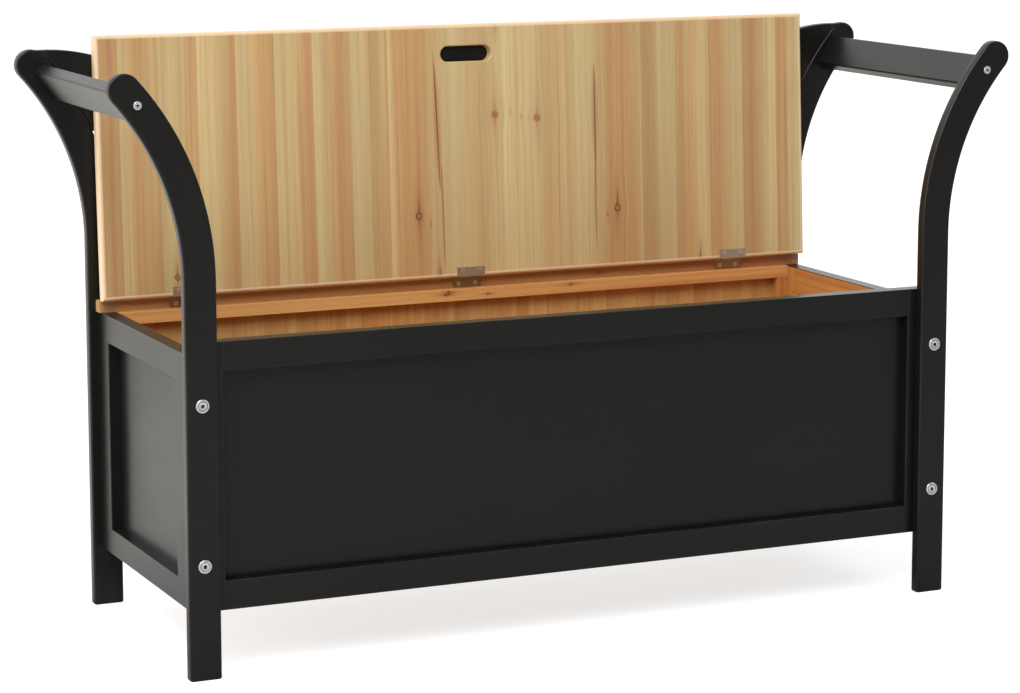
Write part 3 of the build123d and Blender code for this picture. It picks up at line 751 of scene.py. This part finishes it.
# The rounded edges cut across the staves, and there the wood is paler; the rim colour is
# also lightened as a painted highlight along the rounding.
end_gap = LID_HALF - abs(x)
edge_gap = end_gap.least((up_lid - LID_NEAR).least(LID_NEAR + LID_DEPTH - up_lid))
rim = (edge_gap + sway * 0.01).rise(0.0060, 0.0044)
lid_colour = lid_finish.blend(rim * 0.80, lid_colour, LID_RIM_PALE_AND_LIT)
lid_finish.surface(Base_Color=lid_colour, Roughness=lid_sheen)
lid_finish.relief(lid_height, SURFACE_RELIEF)
dress(lid_finish, "lid")


# ------------------------------------------------------------------ hinges
# Three small nickelled butt hinges with cranked lid leaves, each held by two countersunk
# cross-head screws a side. The leaves on the strip are coloured darker than those on the lid,
# painted shade from the open lid's overhang.
PLATE_RELIEF = 0.00002
# Colour of the painted shade in the hollows and at the seats of screw and bolt heads.
HOLLOW_SHADE_COLOUR = (0.045, 0.043, 0.040)
SCREW_SPREAD = 0.0125
LID_SCREW_UP, LID_LEAF_OUT = 0.0092, 0.0157
STRIP_SCREW_DROP, STRIP_LEAF_Y = 0.0100, 0.1772


def plated(name, colour, sheen):
    """Plated steel with faint haze and fine scratches, darkened as painted shade where the
    hollow shade attribute is 1.
    """
    finish = Finish(name)
    x, y, z = finish.place()
    haze = finish.grain((y, x, z), (260, 260, 260), 3.0, 0.6)
    scratches = finish.grain((y, x, z), (2600, 90, 2600), 1.0)
    soot = finish.node("Attribute", {"attribute_name": "soot"}, {}, "Fac")
    hazy = tuple(part * 0.62 for part in colour)
    colour = finish.blend(haze.rise(-0.1, 0.7) * 0.5, colour, hazy)
    colour = finish.blend(soot, colour, HOLLOW_SHADE_COLOUR)
    roughness = sheen + haze * 0.10 + scratches * 0.05
    finish.surface(Base_Color=colour, Roughness=roughness, Metallic=1.0)
    finish.relief(scratches * 0.6 + haze * 0.4, PLATE_RELIEF)
    return finish


def turned(name, rings, places, outward, steps):
    """Heads turned about an axis and set at every place along outward. A ring of a head is
    (radius, height, shape, shade): its radius is multiplied by shape(angle), which is 1 for a
    circle, and shade is 1 where a recess or the seat is darkened as painted shade."""
    angle = np.linspace(0, 2 * pi, steps, endpoint=False)
    radius = np.array([size * shape(angle) for size, _, shape, _ in rings])
    height = np.array([level for _, level, _, _ in rings])[:, None, None]
    shade_amounts = np.repeat([amount for _, _, _, amount in rings], steps)
    axis = np.array(outward) / np.linalg.norm(outward)
    side = np.array((1.0, 0.0, 0.0))
    other = np.cross(axis, side)
    ring_x = (radius * np.cos(angle))[..., None]
    ring_y = (radius * np.sin(angle))[..., None]
    head = ring_x * side + ring_y * other + height * axis
    points = np.array(places)[:, None, None, :] + head
    index, quads = ring_faces(len(rings), steps)
    starts = np.arange(len(places))[:, None] * index.size
    faces = (quads + starts[..., None]).reshape(-1, 4).tolist()
    faces += (index[-1] + starts).tolist() + (index[0][::-1] + starts).tolist()
    return make_piece(name, points, faces, 35, soot=np.tile(shade_amounts, len(places)))


def circle(angle):
    return np.ones_like(angle)


def cross(angle):
    """Radius of a cross whose arms are 1 long and 0.56 wide."""
    nearest = np.minimum(np.abs(np.sin(angle)), np.abs(np.cos(angle)))
    return np.minimum(0.28 / np.maximum(nearest, 0.01), 1.0)


def on_lid(x, along, out):
    """A point of the open lid: along from the pin towards the free edge, out of its underside."""
    y = PIVOT_Y + along * sin(LEAN) - out * cos(LEAN)
    z = PIVOT_Z + along * cos(LEAN) + out * sin(LEAN)
    return (x, y, z)


nickel = plated("dull_nickel", (0.74, 0.72, 0.58), 0.40)
# A darker copy of the nickel for the strip's leaves: painted shade under the lid's edge.
shaded_nickel = plated("shade_painted_nickel", (0.40, 0.34, 0.26), 0.36)
screw_steel = plated("screw_steel", (0.92, 0.90, 0.82), 0.42)
screw_places = []
for place in ("left", "middle", "right"):
    dress(nickel, f"{place}_hinge_lid_leaf")
    dress(shaded_nickel, f"{place}_hinge_strip_leaf")
    low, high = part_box(f"{place}_hinge_lid_leaf")
    screw_places += [(low.x + high.x) / 2 + s * SCREW_SPREAD for s in (-1, 1)]
# The last number of each ring is painted shade: dark at the seat and in the cross recess.
SCREW_RINGS = (
    (0.0030, -0.0004, circle, 1.0),
    (0.0030, 0.00003, circle, 0.4),
    (0.0028, 0.00012, circle, 0.0),
    (0.0022, 0.00016, circle, 0.0),
    (0.0018, 0.00018, cross, 0.0),
    (0.0017, 0.00012, cross, 1.0),
    (0.0015, -0.00070, cross, 1.0),
)
lid_screw_places = [on_lid(x, LID_SCREW_UP, LID_LEAF_OUT) for x in screw_places]
strip_screw_places = [(x, STRIP_LEAF_Y, PIVOT_Z - STRIP_SCREW_DROP) for x in screw_places]
for name, body, places, outward in (
    ("lid_hinge_screws", "seat_lid", lid_screw_places, (0, -cos(LEAN), sin(LEAN))),
    ("strip_hinge_screws", "bench_frame", strip_screw_places, (0, -1, 0)),
):
    screws = turned(name, SCREW_RINGS, places, outward, 40)
    screws.data.materials.append(screw_steel.material)
    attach(screws, body)


# ------------------------------------------------------------------ backrest rail and arm bars
# The rail joins the back arms and swells up to meet them. A flat bar joins each front arm to
# the back one, and carries the elbow. All are black.
rail_low, rail_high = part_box("backrest_rail")
RAIL_BOTTOM, RAIL_END_TOP = rail_low.z, rail_high.z
RAIL_FRONT, RAIL_BACK = rail_low.y, rail_high.y
RAIL_DIP = 0.013
SWELL_START, SWELL_END = 0.480, 0.590
RAIL_ROUND, RAIL_END_ROUND = 0.0022, 0.0006
GLUE_GAP = 0.0002


def rail_top(x):
    """Height of the top edge: level, then two equal arcs that sweep up to the level ends."""
    span = (SWELL_END - SWELL_START) / 2
    lift = RAIL_DIP / 2
    radius = (span**2 + lift**2) / (2 * lift)
    near = np.clip(np.abs(x) - SWELL_START, 0, span)
    far = np.clip(SWELL_END - np.abs(x), 0, span)
    hollow = RAIL_END_TOP - RAIL_DIP + radius - np.sqrt(radius**2 - near**2)
    crown = RAIL_END_TOP - radius + np.sqrt(radius**2 - far**2)
    return np.where(np.abs(x) < SWELL_START + span, hollow, crown)


def rail_end(z):
    """Half length of the rail at a height. Its end is coped to the arm's inner edge, and above
    that it follows the arm's round end."""
    edge = ARM_RADIUS + LEG_HALF + GLUE_GAP
    round_end = LEG_HALF + GLUE_GAP
    coped = ARC_X - np.sqrt(edge**2 - (z - ARM_START) ** 2)
    rounded = TIP_X - np.sqrt(np.maximum(round_end**2 - (z - TIP_Z) ** 2, 0))
    return np.where(z < ARM_START + edge * sin(ARM_SWEEP), coped, rounded)


def rolled(distance, radius):
    """How far a face falls back near an edge rounded to a radius, at a distance from it."""
    inward = np.clip(radius - distance, 0, radius)
    return radius - np.sqrt(radius**2 - inward**2)


def rail_board():
    """Points (u, t) run from end to end and from bottom to top. x is u times the half length
    at the row's height, and the top edge's dip is taken off in proportion to t."""
    steps = np.array([0, 0.08, 0.25, 0.5, 0.75, 1.0])
    tall = RAIL_END_TOP - RAIL_BOTTOM
    edge_rows = steps * RAIL_ROUND / tall
    t = np.concatenate([edge_rows, np.linspace(0.05, 0.93, 24), 1 - edge_rows[::-1]])[:, None]
    edge_columns = steps * RAIL_END_ROUND * 1.3 / SWELL_END
    half = np.concatenate([np.linspace(0, 0.99, 60), 1 - edge_columns[::-1]])
    u = np.concatenate([-half[:0:-1], half])[None, :]
    row_height = RAIL_BOTTOM + t * tall
    x = u * rail_end(row_height)
    dip = RAIL_END_TOP - rail_top(u * rail_end(np.array(RAIL_END_TOP)))
    z = row_height - t * dip
    long_edges = np.minimum(z - RAIL_BOTTOM, rail_top(x) - z)
    ends = (rail_end(row_height) - np.abs(x)) * 0.8
    fall = np.maximum(rolled(long_edges, RAIL_ROUND), rolled(ends, RAIL_END_ROUND))
    front = np.stack([x, RAIL_FRONT + fall, z], -1).reshape(-1, 3)
    back = np.stack([x, RAIL_BACK - fall, z], -1).reshape(-1, 3)
    index = np.arange(x.size).reshape(x.shape)
    sheet = np.stack([index[:-1, :-1], index[:-1, 1:], index[1:, 1:], index[1:, :-1]], -1)
    sheet = sheet.reshape(-1, 4)
    rim = np.concatenate([index[0], index[1:, -1], index[-1, -2::-1], index[-2:0:-1, 0]])
    onward = np.roll(rim, -1)
    wall = np.stack([rim, rim + x.size, onward + x.size, onward], -1)
    faces = np.concatenate([sheet, sheet[:, ::-1] + x.size, wall])
    return make_piece("backrest_rail_board", np.concatenate([front, back]), faces.tolist())


def painted(name, along, node):
    """Paint for a board that stands in the place of a CAD node or is one."""
    finish = Finish(name)
    spray(finish, board_axes(finish, along), edges_of(finish, node))
    return finish


rail = rail_board()
rail.data.materials.append(painted("rail_paint", "x", "backrest_rail").material)
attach(rail, "bench_frame")
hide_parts("backrest_rail")
for bar in ("left_arm_bar", "right_arm_bar"):
    dress(painted(bar + "_paint", "y", bar), bar)
bare_board("rail_tenons", "z", 0.3)


# ------------------------------------------------------------------ bolts
# Bright zinc furniture bolts: two through each leg and a smaller one through each arm into its
# bar. The flat head has a rolled rim, a turned groove and a hexagon socket.
BOLT_HEIGHTS = (0.1435, 0.343)
ARM_BOLT_X, ARM_BOLT_Z = 0.5945, 0.7116
HEAD_HEIGHT = 0.0022
RIM_ROUND = 0.0010
LEG_HEAD, ARM_HEAD = 0.0086, 0.0053
LEG_SOCKET, ARM_SOCKET = 0.0021, 0.0015


def hexagon(angle):
    """Radius of a hexagon whose sides are 1 from its middle."""
    return 1 / np.cos((angle + pi / 6) % (pi / 3) - pi / 6)


def bolt_rings(radius, socket, grooved):
    """Rings of a head from its seat up over the rim and into the socket."""
    rim = [
        (radius - RIM_ROUND * (1 - cos(turn)), HEAD_HEIGHT - RIM_ROUND * (1 - sin(turn)), circle, 0.0)
        for turn in np.linspace(0, pi / 2, 6)
    ]
    groove = (
        (radius * 0.74, HEAD_HEIGHT, circle, 0.0),
        (radius * 0.72, HEAD_HEIGHT - 0.0004, circle, 0.7),
        (radius * 0.62, HEAD_HEIGHT - 0.0005, circle, 0.7),
        (radius * 0.60, HEAD_HEIGHT - 0.0001, circle, 0.0),
    )
    # The last number of each ring is painted shade: dark at the seat, in the groove and in the socket.
    return (
        (radius - 0.0003, -0.0003, circle, 1.0),
        (radius, 0.0002, circle, 0.6),
        *rim,
        *(groove if grooved else ()),
        (socket + 0.0007, HEAD_HEIGHT, circle, 0.0),
        (socket, HEAD_HEIGHT - 0.0003, hexagon, 0.3),
        (socket - 0.00005, HEAD_HEIGHT - 0.0006, hexagon, 1.0),
        (socket - 0.0001, HEAD_HEIGHT - 0.0019, hexagon, 1.0),
    )


zinc = plated("bright_zinc", (0.90, 0.90, 0.88), 0.36)
leg_rings = bolt_rings(LEG_HEAD, LEG_SOCKET, True)
arm_rings = bolt_rings(ARM_HEAD, ARM_SOCKET, False)
leg_spots = [(s * LEG_X, z) for s in (-1, 1) for z in BOLT_HEIGHTS]
arm_spots = [(s * ARM_BOLT_X, ARM_BOLT_Z) for s in (-1, 1)]
for node, rings, spots, ends in (
    ("front_leg_bolts", leg_rings, leg_spots, ("front",)),
    ("back_leg_bolts", leg_rings, leg_spots, ("back",)),
    ("arm_bolts", arm_rings, arm_spots, ("front", "back")),
):
    for end in ends:
        outward = -1 if end == "front" else 1
        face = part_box(f"{end}_left_leg")[0 if end == "front" else 1].y
        places = [(x, face, z) for x, z in spots]
        heads = turned(f"{node}_{end}", rings, places, (0, outward, 0), 72)
        heads.data.materials.append(zinc.material)
        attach(heads, "bench_frame")
        if end == ends[0]:
            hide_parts(node)
